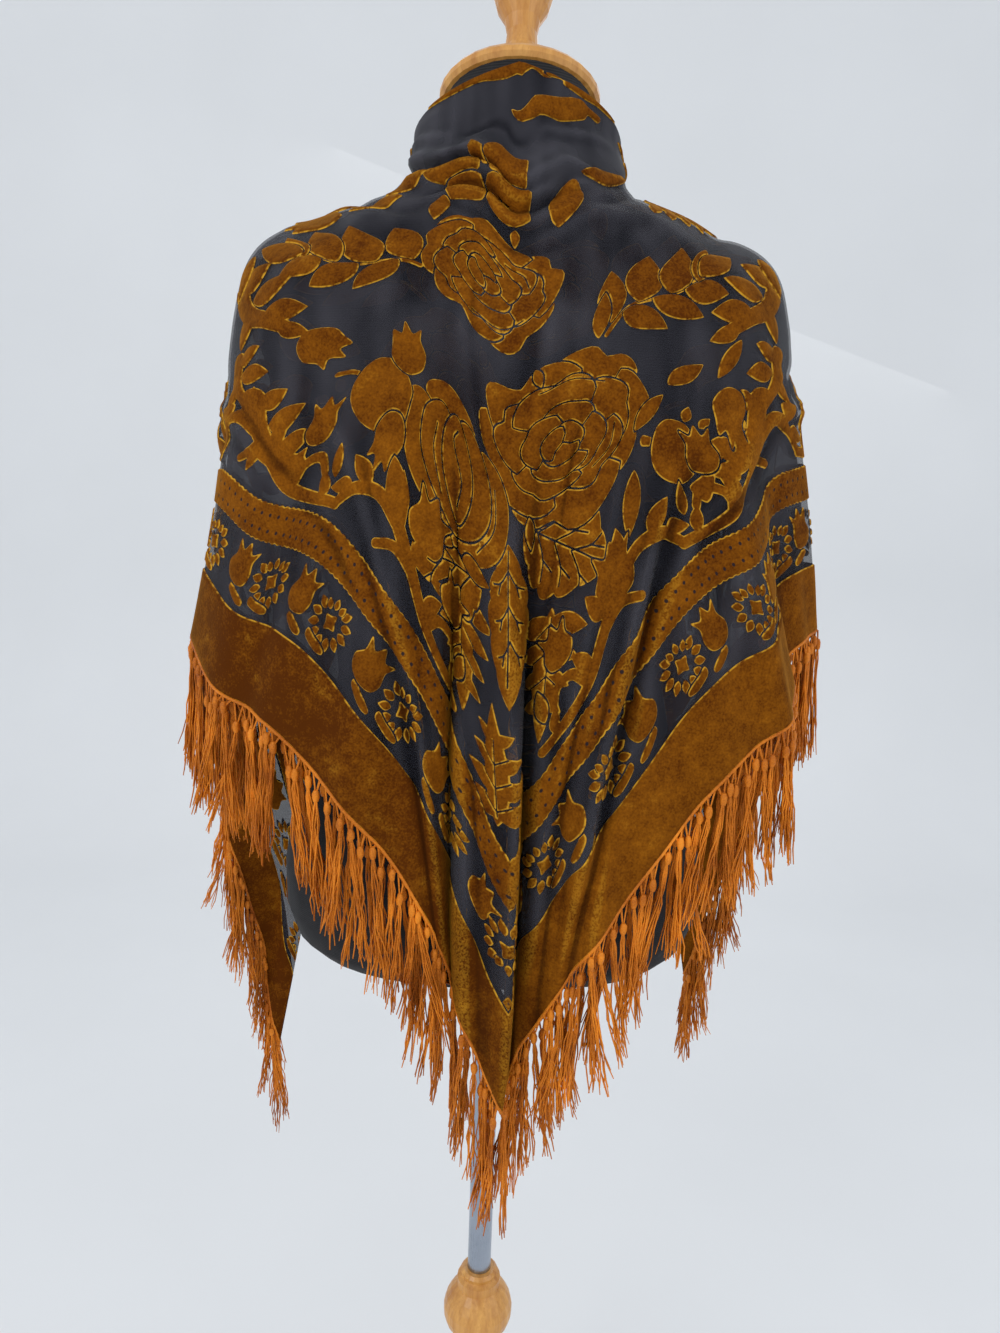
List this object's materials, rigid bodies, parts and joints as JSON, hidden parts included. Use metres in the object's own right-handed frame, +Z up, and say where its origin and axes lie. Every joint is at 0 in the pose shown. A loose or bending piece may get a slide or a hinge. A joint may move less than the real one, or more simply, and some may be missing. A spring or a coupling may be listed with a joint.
{
  "type": "burnout velvet shawl on a limbless dress form",
  "caption": "Fringed burnout velvet shawl folded to a triangle, draped over a limbless dress form with a wooden neck cap, steel pole and round base.",
  "frame": {"origin": "centre of the base disc's underside, on the floor and on the pole's axis", "axes": "+Z up along the pole; the wearer's back and the shawl's point face -Y; +X is the wearer's right"},
  "size_m": [0.5494, 0.38, 1.5578],
  "materials": {
    "burnout_velvet": "golden brown velvet pile on a dark sheer ground",
    "fringe_thread": "orange knotted silky thread",
    "form_cover": "matt black jersey cover",
    "honey_wood": "satin lacquered",
    "pole_steel": "satin"
  },
  "bodies": {
    "root": {"shawl_collar": "burnout_velvet", "shawl_back": "burnout_velvet", "shawl_left_end": "burnout_velvet", "shawl_right_end": "burnout_velvet", "fringe_back_left": "fringe_thread", "fringe_back_right": "fringe_thread", "fringe_left_end": "fringe_thread", "fringe_right_end": "fringe_thread", "form_torso": "form_cover", "neck_cap": "honey_wood", "neck_finial": "honey_wood", "stand_ball": "honey_wood", "stand_column": "honey_wood", "stand_base": "honey_wood", "stand_pole": "pole_steel"}
  },
  "joints": []
}
